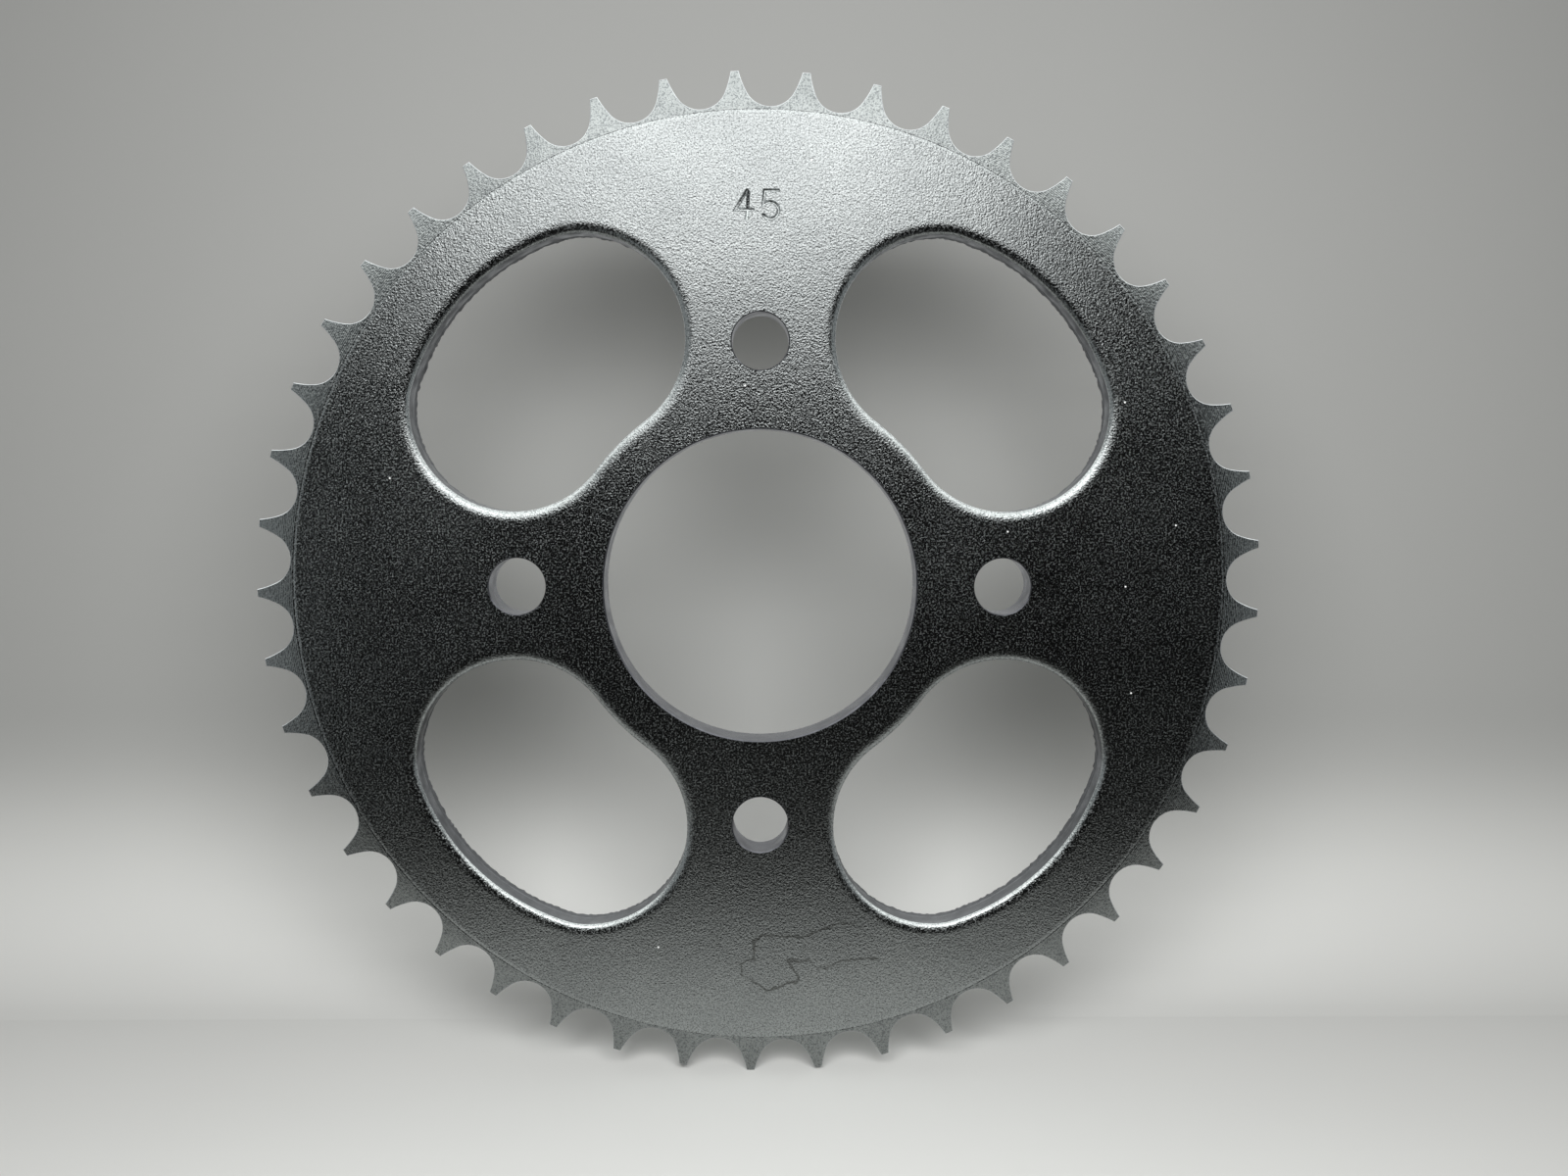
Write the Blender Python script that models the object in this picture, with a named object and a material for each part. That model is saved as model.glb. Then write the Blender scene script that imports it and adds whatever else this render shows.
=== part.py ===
"""Rear chain sprocket for a small motorcycle: one stamped and turned steel plate.

The plate spins about Y. Its numbered face looks toward -Y, Z is up, and the
origin lies on the bore's axis at half the plate's thickness. It is made the way
the real one is: a turned blank with relieved tooth sides, cut by the tooth
outline, then punched for the bore, the bolt holes and the four windows.
"""

import math

import bmesh
import bpy
from mathutils import Matrix, Vector

MM = 0.001

# Teeth, for a chain of half-inch pitch
TEETH = 45
CHAIN_PITCH = 12.7 * MM
ROLLER_DIAMETER = 8.51 * MM
PITCH_RADIUS = CHAIN_PITCH / (2.0 * math.sin(math.pi / TEETH))
ROOT_RADIUS = PITCH_RADIUS - ROLLER_DIAMETER / 2.0
TIP_RADIUS = 93.4 * MM
SEAT_RADIUS = 4.85 * MM
SEAT_HALF_ANGLE = math.radians(62.0)
FLANK_RADIUS = 18.5 * MM
FIRST_TIP_ANGLE = math.radians(4.86)

# Turned blank: flat faces, and tooth sides relieved toward the tips
THICKNESS = 7.3 * MM
RELIEF_START_RADIUS = 86.3 * MM
RELIEF_DEPTH = 1.4 * MM
RELIEF_START_SLOPE = 0.12

# Punched holes
BORE_RADIUS = 29.0 * MM
BORE_CHAMFER = 0.25 * MM
BOLT_HOLES = 4
BOLT_HOLE_RADIUS = 5.25 * MM
BOLT_HOLE_CHAMFER = 0.2 * MM
BOLT_CIRCLE_RADIUS = 45.0 * MM

# Window outline, as tangent arcs from its outer edge in to the web round the bore
WINDOWS = 4
WINDOW_OUTER_EDGE = 75.7 * MM
WINDOW_OUTER_ARC = (42.0 * MM, math.radians(27.0))
WINDOW_SHOULDER_ARC = (13.0 * MM, math.radians(44.0))
WINDOW_SIDE_RADIUS = 18.9 * MM
WINDOW_WEB_RADIUS = 50.0 * MM

# Punched window edge: rolled over at the front, torn slightly wider at the back
ROLL_WIDTH = 2.0 * MM
ROLL_DEPTH = 0.85 * MM
ROLL_STEPS = 3
TEAR_DEPTH = 2.4 * MM
TEAR_WIDTH = 0.18 * MM

# Tooth count stamped between the top bolt hole and the teeth
DIGIT_HEIGHT = 5.8 * MM
DIGIT_STROKE = 0.55 * MM
DIGIT_DEPTH = 0.3 * MM
DIGIT_RADIUS = 69.6 * MM
DIGIT_SPACING = 5.0 * MM

# How far a cutter runs past the surface it cuts
CLEAR = 2.0 * MM

FRONT = -THICKNESS / 2.0
BACK = THICKNESS / 2.0


def clear_scene():
    """Remove whatever the scene starts with."""
    for thing in list(bpy.data.objects):
        bpy.data.objects.remove(thing, do_unlink=True)


def polar(radius, angle):
    """Point (x, z) at a radius and an angle from +X toward +Z."""
    return Vector((radius * math.cos(angle), radius * math.sin(angle)))


def arc(centre, radius, start, end, steps):
    """Points (x, z) along an arc, both ends included."""
    return [
        centre + polar(radius, start + (end - start) * step / steps)
        for step in range(steps + 1)
    ]


def ring(mesh, outline, y):
    """Add a closed loop of vertices through (x, z) points at one depth."""
    verts = [mesh.verts.new((point.x, y, point.y)) for point in outline]
    return [mesh.edges.new(pair) for pair in zip(verts, verts[1:] + verts[:1])]


def add_lofted(mesh, sections):
    """Add a closed solid through (outline, y) sections with equal point counts."""
    loops = [ring(mesh, outline, y) for outline, y in sections]
    for near, far in zip(loops, loops[1:]):
        bmesh.ops.bridge_loops(mesh, edges=near + far)
    for loop in (loops[0], loops[-1]):
        bmesh.ops.contextual_create(mesh, geom=loop)


def make_object(name, mesh):
    """Turn a bmesh into a linked object with its faces pointing outwards."""
    bmesh.ops.recalc_face_normals(mesh, faces=mesh.faces)
    data = bpy.data.meshes.new(name)
    mesh.to_mesh(data)
    mesh.free()
    thing = bpy.data.objects.new(name, data)
    bpy.context.scene.collection.objects.link(thing)
    return thing


def as_cutter(thing):
    """Keep a cutting shape out of the built part."""
    thing.hide_render = True
    thing.display_type = "WIRE"
    return thing


def boolean(target, cutter, operation):
    """Add an exact Boolean to a part."""
    modifier = target.modifiers.new(cutter.name, "BOOLEAN")
    modifier.operation = operation
    modifier.solver = "EXACT"
    modifier.object = cutter


def relief_at(radius):
    """How far a tooth's side stands back from the flat face at a radius."""
    span = TIP_RADIUS - RELIEF_START_RADIUS
    reach = max(radius - RELIEF_START_RADIUS, 0.0)
    curve = (RELIEF_DEPTH - RELIEF_START_SLOPE * span) / span**2
    return RELIEF_START_SLOPE * reach + curve * reach**2


def turned_blank():
    """Disc with its rim relieved on both sides, its flats centred on the teeth."""
    segments = 2 * TEETH
    turn = 2.0 * math.pi / segments
    steps = 3
    radii = [
        RELIEF_START_RADIUS + (TIP_RADIUS - RELIEF_START_RADIUS) * step / steps
        for step in range(steps + 1)
    ]
    sections = [(radius, FRONT + relief_at(radius)) for radius in radii]
    sections += [(radius, BACK - relief_at(radius)) for radius in reversed(radii)]
    mesh = bmesh.new()
    start = FIRST_TIP_ANGLE + turn / 2.0
    add_lofted(mesh, [
        (arc(Vector((0.0, 0.0)), radius / math.cos(turn / 2.0), start,
             start + 2.0 * math.pi - turn, segments - 1), y)
        for radius, y in sections
    ])
    return make_object("sprocket_plate", mesh)


def tooth_gap():
    """Outline of one gap about +Z, from its right tip round its seat to its left."""
    seat_centre = Vector((0.0, ROOT_RADIUS + SEAT_RADIUS))
    bottom = -math.pi / 2.0
    seat_end = bottom + SEAT_HALF_ANGLE
    flank_centre = seat_centre - polar(FLANK_RADIUS - SEAT_RADIUS, seat_end)
    past_tip = math.radians(78.0)
    right_seat = arc(seat_centre, SEAT_RADIUS, seat_end, bottom, 4)
    right_flank = arc(flank_centre, FLANK_RADIUS, bottom + past_tip, seat_end, 3)
    right = right_flank + right_seat[1:]
    left = [Vector((-point.x, point.y)) for point in reversed(right[:-1])]
    return right + left


def tooth_cutter():
    """Solid with the tooth outline all round, thicker than the blank."""
    gap = tooth_gap()
    pitch = 2.0 * math.pi / TEETH
    outline = []
    for tooth in range(TEETH):
        turn = Matrix.Rotation(FIRST_TIP_ANGLE + (tooth + 0.5) * pitch - math.pi / 2.0, 2)
        outline += [turn @ point for point in gap]
    mesh = bmesh.new()
    add_lofted(mesh, [(outline, FRONT - CLEAR), (outline, BACK + CLEAR)])
    return as_cutter(make_object("tooth_outline", mesh))


def window_outline(grow):
    """Outline of the window about +Z, grown outwards by a distance."""
    outer_radius, outer_end = WINDOW_OUTER_ARC
    shoulder_radius, shoulder_end = WINDOW_SHOULDER_ARC
    up = math.pi / 2.0
    outer_centre = Vector((0.0, WINDOW_OUTER_EDGE - outer_radius))
    shoulder_centre = outer_centre + polar(outer_radius - shoulder_radius, up - outer_end)
    side_centre = shoulder_centre + polar(shoulder_radius - WINDOW_SIDE_RADIUS,
                                          up - shoulder_end)
    web_angle = math.asin(side_centre.x / (WINDOW_SIDE_RADIUS + WINDOW_WEB_RADIUS))
    side_end = -up - web_angle
    web_centre = side_centre + polar(WINDOW_SIDE_RADIUS + WINDOW_WEB_RADIUS, side_end)
    half = arc(outer_centre, outer_radius + grow, up, up - outer_end, 3)
    half += arc(shoulder_centre, shoulder_radius + grow,
                up - outer_end, up - shoulder_end, 2)[1:]
    half += arc(side_centre, WINDOW_SIDE_RADIUS + grow, up - shoulder_end, side_end, 12)[1:]
    half += arc(web_centre, WINDOW_WEB_RADIUS - grow, up - web_angle, up, 2)[1:]
    return half + [Vector((-point.x, point.y)) for point in reversed(half[1:-1])]


def window_sections():
    """Window outlines down through the plate: roll-over, smooth wall, torn wall."""
    sections = [(window_outline(ROLL_WIDTH), FRONT - CLEAR)]
    for step in range(ROLL_STEPS + 1):
        angle = math.pi / 2.0 * step / ROLL_STEPS
        grow = ROLL_WIDTH * (1.0 - math.sin(angle))
        sections.append((window_outline(grow), FRONT + ROLL_DEPTH * (1.0 - math.cos(angle))))
    sections.append((window_outline(0.0), BACK - TEAR_DEPTH))
    sections.append((window_outline(TEAR_WIDTH), BACK))
    sections.append((window_outline(TEAR_WIDTH), BACK + CLEAR))
    return sections


def round_sections(centre, radius, chamfer, segments):
    """Circles down through the plate for a hole chamfered at both faces."""
    full = 2.0 * math.pi * (segments - 1) / segments
    wide = arc(centre, radius + chamfer + CLEAR, 0.0, full, segments - 1)
    narrow = arc(centre, radius, 0.0, full, segments - 1)
    return [
        (wide, FRONT - CLEAR), (narrow, FRONT + chamfer),
        (narrow, BACK - chamfer), (wide, BACK + CLEAR),
    ]


def hole_cutter():
    """Every through hole: the bore, the bolt holes and the windows."""
    mesh = bmesh.new()
    add_lofted(mesh, round_sections(Vector((0.0, 0.0)), BORE_RADIUS, BORE_CHAMFER, 72))
    for hole in range(BOLT_HOLES):
        centre = polar(BOLT_CIRCLE_RADIUS, 2.0 * math.pi * hole / BOLT_HOLES)
        add_lofted(mesh, round_sections(centre, BOLT_HOLE_RADIUS, BOLT_HOLE_CHAMFER, 28))
    sections = window_sections()
    for window in range(WINDOWS):
        turn = Matrix.Rotation(2.0 * math.pi * (window + 0.5) / WINDOWS, 2)
        add_lofted(mesh, [([turn @ point for point in outline], y)
                          for outline, y in sections])
    return as_cutter(make_object("holes", mesh))


def stroke_outline(path):
    """Outline of a stroke of the digit pen along (x, z) points, with mitred bends."""
    sides = []
    for index, point in enumerate(path):
        before = (point - path[max(index - 1, 0)]).normalized()
        after = (path[min(index + 1, len(path) - 1)] - point).normalized()
        along = (before + after).normalized()
        across = Vector((-along.y, along.x))
        bend = max(abs(across.dot(Vector((-after.y, after.x)))),
                   abs(across.dot(Vector((-before.y, before.x)))))
        sides.append(across * (DIGIT_STROKE / 2.0 / bend))
    left = [point + side for point, side in zip(path, sides)]
    right = [point - side for point, side in zip(path, sides)]
    return left + right[::-1]


def digit_strokes():
    """Pen paths of the figures four and five, each sunk to its own depth."""
    low = DIGIT_RADIUS - DIGIT_HEIGHT / 2.0
    high = DIGIT_RADIUS + DIGIT_HEIGHT / 2.0
    four = -DIGIT_SPACING / 2.0
    bar = low + 0.3 * DIGIT_HEIGHT
    stem = four + 0.12 * DIGIT_HEIGHT
    five = DIGIT_SPACING / 2.0
    bowl = 0.3 * DIGIT_HEIGHT
    bowl_centre = Vector((five - 0.03 * DIGIT_HEIGHT, low + bowl))
    four_path = [
        Vector((stem - 0.01 * DIGIT_HEIGHT, high)),
        Vector((four - 0.33 * DIGIT_HEIGHT, bar)),
        Vector((four + 0.33 * DIGIT_HEIGHT, bar)),
    ]
    stem_path = [Vector((stem, bar + 0.3 * DIGIT_HEIGHT)), Vector((stem, low))]
    five_path = [
        Vector((five + 0.26 * DIGIT_HEIGHT, high)),
        Vector((five - 0.24 * DIGIT_HEIGHT, high)),
        Vector((five - 0.28 * DIGIT_HEIGHT, low + 0.5 * DIGIT_HEIGHT)),
    ] + arc(bowl_centre, bowl, math.radians(115.0), math.radians(-145.0), 8)
    return [(four_path, DIGIT_DEPTH), (five_path, DIGIT_DEPTH), (stem_path, 0.9 * DIGIT_DEPTH)]


def digit_cutters():
    """One cutter for each stroke of the stamped tooth count."""
    cutters = []
    for index, (path, depth) in enumerate(digit_strokes()):
        outline = stroke_outline(path)
        mesh = bmesh.new()
        add_lofted(mesh, [(outline, FRONT - CLEAR), (outline, FRONT + depth)])
        cutters.append(as_cutter(make_object(f"digit_stroke_{index + 1}", mesh)))
    return cutters


def zinc_plated_steel():
    """Bright zinc plating over stamped steel."""
    material = bpy.data.materials.new("zinc_plated_steel")
    material.use_nodes = True
    shader = material.node_tree.nodes["Principled BSDF"]
    shader.inputs["Base Color"].default_value = (0.60, 0.62, 0.64, 1.0)
    shader.inputs["Metallic"].default_value = 1.0
    shader.inputs["Roughness"].default_value = 0.34
    return material


def build_sprocket():
    """The finished plate."""
    plate = turned_blank()
    boolean(plate, tooth_cutter(), "INTERSECT")
    boolean(plate, hole_cutter(), "DIFFERENCE")
    for cutter in digit_cutters():
        boolean(plate, cutter, "DIFFERENCE")
    plate.data.materials.append(zinc_plated_steel())
    plate.data.shade_smooth()
    plate.data.set_sharp_from_angle(angle=math.radians(30.0))


clear_scene()
build_sprocket()
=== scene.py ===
"""Looks of a motorcycle's rear chain sprocket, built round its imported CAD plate.

The plate is modelled again as one closed steel piece with the detail of the real
part: turned tooth sides, punched windows with rolled and torn edges, deburred
bolt holes and a stamped tooth count. Its zinc plating is procedural. Lengths are
in metres; the numbered face looks toward -Y and Z is up.
"""

import logging
import math
from collections.abc import Callable, Sequence
from dataclasses import dataclass, field
from enum import Enum

import bmesh
import bpy
from bmesh.types import BMEdge, BMesh, BMFace, BMVert
from bpy.types import Material, Node, NodeSocket, NodeTree, Object
from mathutils import Euler, Matrix, Vector, noise


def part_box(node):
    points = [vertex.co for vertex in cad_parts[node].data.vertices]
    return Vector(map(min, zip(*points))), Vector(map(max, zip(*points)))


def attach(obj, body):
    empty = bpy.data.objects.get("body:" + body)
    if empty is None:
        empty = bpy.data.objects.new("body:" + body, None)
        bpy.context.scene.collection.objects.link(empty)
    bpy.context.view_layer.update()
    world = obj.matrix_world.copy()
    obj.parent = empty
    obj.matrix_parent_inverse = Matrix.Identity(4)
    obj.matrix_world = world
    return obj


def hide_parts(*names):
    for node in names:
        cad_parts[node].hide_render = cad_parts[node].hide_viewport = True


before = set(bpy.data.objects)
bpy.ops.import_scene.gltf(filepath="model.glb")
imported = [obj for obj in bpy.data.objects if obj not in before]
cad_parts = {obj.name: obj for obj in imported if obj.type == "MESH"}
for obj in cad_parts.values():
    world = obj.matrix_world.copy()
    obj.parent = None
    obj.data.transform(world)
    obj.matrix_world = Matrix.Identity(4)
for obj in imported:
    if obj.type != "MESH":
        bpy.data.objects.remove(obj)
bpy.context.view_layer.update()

MM = 0.001
PLATE_NODE = "sprocket_plate"
UP = math.pi / 2.0
FULL_TURN = 2.0 * math.pi
ORIGIN = (0.0, 0.0, 0.0)
BLACK = (0.0, 0.0, 0.0, 1.0)
GREY_MIDDLE = (0.5, 0.5, 0.5)

Colour = tuple[float, float, float, float]

log = logging.getLogger("sprocket")


class Surface(Enum):
    """Finishes on the plate, by the way each surface was made."""

    FLAT = 0
    TURNED = 1
    TOOTH_GAP = 2
    PUNCHED = 3
    BORED = 4
    ROLLED = 5


def polar(radius: float, angle: float) -> Vector:
    """Point (x, z) at a radius and an angle from +X toward +Z."""
    return Vector((radius * math.cos(angle), radius * math.sin(angle)))


def arc(centre: Vector, radius: float, start: float, end: float, steps: int) -> list[Vector]:
    """Points (x, z) along an arc.

    Args:
        centre: Middle of the arc.
        radius: Its radius.
        start: Angle of the first point.
        end: Angle of the last point.
        steps: Number of equal steps between them.

    Returns:
        The points, both ends included.
    """
    return [centre + polar(radius, start + (end - start) * step / steps) for step in range(steps + 1)]


def open_edges(verts: Sequence[BMVert]) -> list[BMEdge]:
    """Boundary edges that join two of the given vertices."""
    chosen = set(verts)
    edges = {edge for vert in chosen for edge in vert.link_edges}
    return [edge for edge in edges if len(edge.link_faces) < 2 and chosen >= set(edge.verts)]


def extrude_verts(mesh: BMesh, edges: Sequence[BMEdge], surface: Surface) -> list[BMVert]:
    """Extrude a chain or loop of edges in place and give the new faces a finish.

    Args:
        mesh: The mesh they belong to.
        edges: Edges to extrude.
        surface: Finish of the faces that they sweep.

    Returns:
        The new vertices, still lying on the old ones.
    """
    made = bmesh.ops.extrude_edge_only(mesh, edges=edges)["geom"]
    for element in made:
        if isinstance(element, BMFace):
            element.material_index = surface.value
    return [element for element in made if isinstance(element, BMVert)]


def linked_object(name: str, data: bpy.types.ID) -> Object:
    """New object in the scene for a mesh, camera or light."""
    thing = bpy.data.objects.new(name, data)
    bpy.context.scene.collection.objects.link(thing)
    return thing


def mesh_object(name: str, mesh: BMesh) -> Object:
    """New object in the scene that takes over a bmesh, which is freed."""
    data = bpy.data.meshes.new(name)
    mesh.to_mesh(data)
    mesh.free()
    return linked_object(name, data)


@dataclass(frozen=True)
class ToothForm:
    """Tooth outline for a roller chain, and the turned relief of the tooth sides."""

    teeth: int = 45
    chain_pitch: float = 12.7 * MM
    roller_diameter: float = 8.51 * MM
    tip_radius: float = 93.4 * MM
    seat_radius: float = 4.85 * MM
    seat_half_angle: float = math.radians(62.0)
    flank_radius: float = 18.5 * MM
    first_tip_angle: float = math.radians(4.86)
    edge_break: float = 0.11 * MM
    relief_start: float = 86.3 * MM
    relief_depth: float = 1.4 * MM
    relief_start_slope: float = 0.12
    inner_ring: float = 85.0 * MM
    groove_width: float = 0.24 * MM
    groove_wall: float = 0.06 * MM
    groove_depth: float = 0.022 * MM
    columns: int = 10
    seat_steps: int = 9
    flank_steps: int = 7

    @property
    def pitch_angle(self) -> float:
        """Angle from one tooth to the next."""
        return FULL_TURN / self.teeth

    @property
    def root_radius(self) -> float:
        """Radius at the bottom of the gaps, where a roller sits."""
        pitch_radius = self.chain_pitch / (2.0 * math.sin(self.pitch_angle / 2.0))
        return pitch_radius - self.roller_diameter / 2.0

    def gap_edge(self, land: float) -> list[tuple[float, float]]:
        """Half of a gap's edge, from its bottom out to the tooth's tip.

        Args:
            land: How far the edge is set back into the tooth.

        Returns:
            Radius and angle from the gap's middle line of each point.
        """
        seat = self.seat_radius + land
        flank = self.flank_radius + land
        tip = self.tip_radius - land
        seat_centre = Vector((0.0, self.root_radius + self.seat_radius))
        lean = self.seat_half_angle - UP
        flank_centre = seat_centre - polar(self.flank_radius - self.seat_radius, lean)
        reach = flank_centre.length
        tip_angle = math.atan2(flank_centre.y, flank_centre.x) + math.asin(
            (tip**2 - reach**2 - flank**2) / (2.0 * flank * reach)
        )
        points = arc(seat_centre, seat, -UP, lean, self.seat_steps)
        points += arc(flank_centre, flank, lean, tip_angle - UP, self.flank_steps)[1:]
        return [(point.length, max(math.atan2(point.x, point.y), 0.0)) for point in points]

    def rows(self, land: float) -> list[tuple[float, float]]:
        """Rows of one tooth's sector, from the flat face out to the tip.

        Args:
            land: How far the tooth's edge is set back.

        Returns:
            Radius of each row and half the angle that it spans.
        """
        half = self.pitch_angle / 2.0
        groove_start = self.relief_start - self.groove_width
        radii = [
            self.inner_ring,
            groove_start - 2.0 * self.groove_width,
            groove_start,
            groove_start + self.groove_wall,
            self.relief_start - self.groove_wall,
            self.relief_start,
            self.relief_start + self.groove_wall,
        ]
        inner = [(radius, half) for radius in radii]
        return inner + [(radius, half - gap) for radius, gap in self.gap_edge(land)]

    def side_depth(self, radius: float) -> float:
        """How far a tooth's side lies below the flat face at a radius."""
        span = self.tip_radius - self.relief_start
        past = max(radius - self.relief_start, 0.0)
        curve = (self.relief_depth - self.relief_start_slope * span) / span**2
        relief = self.relief_start_slope * past + curve * past**2
        from_middle = abs(radius - self.relief_start + 0.5 * self.groove_width)
        in_groove = min(max((0.5 * self.groove_width - from_middle) / self.groove_wall, 0.0), 1.0)
        return relief + self.groove_depth * in_groove


@dataclass(frozen=True)
class WindowForm:
    """Window outline, as tangent arcs from its outer edge in to the web round the bore."""

    count: int = 4
    outer_edge: float = 75.7 * MM
    outer_radius: float = 42.0 * MM
    outer_end: float = math.radians(27.0)
    shoulder_radius: float = 13.0 * MM
    shoulder_end: float = math.radians(44.0)
    side_radius: float = 18.9 * MM
    web_radius: float = 50.0 * MM
    roll_width: float = 2.0 * MM
    roll_depth: float = 0.85 * MM
    roll_steps: int = 9
    land_width: float = 0.4 * MM
    tear_depth: float = 2.6 * MM
    tear_width: float = 0.28 * MM
    tear_raggedness: float = 0.26 * MM
    tear_steps: int = 6
    arc_steps: tuple[int, int, int, int] = (40, 8, 96, 14)

    @property
    def stations(self) -> int:
        """Number of points round the outline."""
        return 2 * sum(self.arc_steps)

    def outline(self, grow: float) -> list[Vector]:
        """Points (x, z) round the window about +Z.

        Args:
            grow: How far the outline is moved outwards.

        Returns:
            The points in order, the same number for any growth.
        """
        outer, shoulder, side, web = self.arc_steps
        outer_centre = Vector((0.0, self.outer_edge - self.outer_radius))
        shoulder_centre = outer_centre + polar(
            self.outer_radius - self.shoulder_radius, UP - self.outer_end
        )
        side_centre = shoulder_centre + polar(
            self.shoulder_radius - self.side_radius, UP - self.shoulder_end
        )
        lean = math.asin(side_centre.x / (self.side_radius + self.web_radius))
        web_centre = side_centre + polar(self.side_radius + self.web_radius, -UP - lean)
        half = arc(outer_centre, self.outer_radius + grow, UP, UP - self.outer_end, outer)
        half += arc(
            shoulder_centre, self.shoulder_radius + grow,
            UP - self.outer_end, UP - self.shoulder_end, shoulder,
        )[1:]
        half += arc(side_centre, self.side_radius + grow, UP - self.shoulder_end, -UP - lean, side)[1:]
        half += arc(web_centre, self.web_radius - grow, UP - lean, UP, web)[1:]
        return half + [Vector((-point.x, point.y)) for point in reversed(half[1:-1])]


@dataclass(frozen=True)
class RoundHole:
    """A round hole with a broken edge at each face."""

    radius: float
    chamfer: float
    stations: int
    centre: tuple[float, float] = (0.0, 0.0)
    land_width: float = 0.4 * MM
    wall_steps: int = 4
    burr: float = 0.0

    def outline(self, grow: float) -> list[Vector]:
        """Points (x, z) round the hole, moved outwards by a distance."""
        last = FULL_TURN * (self.stations - 1) / self.stations
        return arc(Vector(self.centre), self.radius + grow, 0.0, last, self.stations - 1)


@dataclass(frozen=True)
class Level:
    """One loop down through a hole."""

    grow: float
    depth: float
    surface: Surface
    raggedness: float = 0.0


@dataclass(frozen=True)
class StampForm:
    """Tooth count stamped in plain round-bottomed strokes."""

    height: float = 5.0 * MM
    spacing: float = 4.9 * MM
    middle_radius: float = 69.4 * MM
    shift: float = -0.5 * MM
    bowl: float = 0.3
    bowl_start: float = math.radians(115.0)
    bowl_end: float = math.radians(-145.0)
    stroke_radius: float = 0.36 * MM
    stroke_depth: float = 0.3 * MM
    nose: tuple[tuple[float, float], ...] = ((1.0, 0.3), (0.7, 0.72))
    tightest_bend: float = 0.5
    sides: int = 12

    def at(self, figure: float, across: float, up: float) -> Vector:
        """Point (x, z) of a figure, in parts of its height from its middle and its foot."""
        return Vector((self.shift + figure * self.spacing + across * self.height,
                       self.middle_radius + (up - 0.5) * self.height))

    def strokes(self) -> list[list[Vector]]:
        """Pen paths (x, z) of the figures four and five."""
        four = [self.at(-0.5, *spot) for spot in ((0.11, 1.0), (-0.31, 0.32), (0.31, 0.32))]
        stem = [self.at(-0.5, *spot) for spot in ((0.16, 0.95), (0.1, 0.0))]
        five = [self.at(0.5, *spot) for spot in ((0.26, 1.0), (-0.24, 1.0), (-0.28, 0.5))]
        five += arc(self.at(0.5, -0.03, self.bowl), self.bowl * self.height,
                    self.bowl_start, self.bowl_end, 14)
        return [four, stem, five]


@dataclass
class Graph:
    """Short hand for building one node tree."""

    tree: NodeTree

    def add(self, kind: str, wires: dict | None = None, **settings: object) -> Node:
        """Add a node.

        Args:
            kind: Node type, without its ShaderNode prefix.
            wires: A constant or an output socket for each named or numbered input.
            settings: Properties of the node.

        Returns:
            The new node.
        """
        node = self.tree.nodes.new(f"ShaderNode{kind}")
        for name, value in settings.items():
            setattr(node, name, value)
        self.wire(node, wires or {})
        return node

    def wire(self, node: Node, wires: dict) -> None:
        """Set or link a node's inputs.

        Args:
            node: The node.
            wires: A constant or an output socket for each named or numbered input.
        """
        for name, value in wires.items():
            if isinstance(value, NodeSocket):
                self.tree.links.new(value, node.inputs[name])
            else:
                node.inputs[name].default_value = value

    def math(self, operation: str, *values: object, clamp: bool = False) -> NodeSocket:
        """Result of a Math node on constants or sockets."""
        wires = dict(enumerate(values))
        return self.add("Math", wires, operation=operation, use_clamp=clamp).outputs[0]

    def ramp(self, value: object, low: float, high: float, out: tuple[float, float] = (0.0, 1.0),
             smooth: bool = True) -> NodeSocket:
        """Map a value from one range to another.

        Args:
            value: Socket to map.
            low: Value that gives the first result.
            high: Value that gives the second result.
            out: The two results.
            smooth: Whether the change is eased at both ends.

        Returns:
            The mapped value.
        """
        wires = {"Value": value, "From Min": low, "From Max": high, "To Min": out[0], "To Max": out[1]}
        kind = "SMOOTHSTEP" if smooth else "LINEAR"
        return self.add("MapRange", wires, interpolation_type=kind).outputs["Result"]

    def blend(self, amount: object, first: object, second: object) -> NodeSocket:
        """Mix two colours by an amount."""
        node = self.add("Mix", {0: amount, 6: first, 7: second}, data_type="RGBA")
        return node.outputs[2]

    def plus(self, value: object, mask: object, amount: object) -> NodeSocket:
        """A value plus a mask times an amount."""
        return self.math("ADD", value, self.math("MULTIPLY", mask, amount))

    def vector(self, operation: str, first: object, second: object) -> NodeSocket:
        """Result of a Vector Math node, a number for a distance or a dot product."""
        wires = {0: first, "Scale" if operation == "SCALE" else 1: second}
        outputs = self.add("VectorMath", wires, operation=operation).outputs
        return outputs["Value" if operation in ("DISTANCE", "DOT_PRODUCT") else "Vector"]

    def noise(self, place: NodeSocket, scale: object, detail: float,
              roughness: float = 0.5, output: str = "Fac") -> NodeSocket:
        """Result of a Noise Texture node."""
        wires = {"Vector": place, "Scale": scale, "Detail": detail, "Roughness": roughness}
        return self.add("TexNoise", wires).outputs[output]

    def put_out(self, values: dict[str, NodeSocket]) -> NodeTree:
        """Feed a node group's named outputs and return the group."""
        self.wire(self.tree.nodes["Group Output"], values)
        return self.tree


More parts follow.
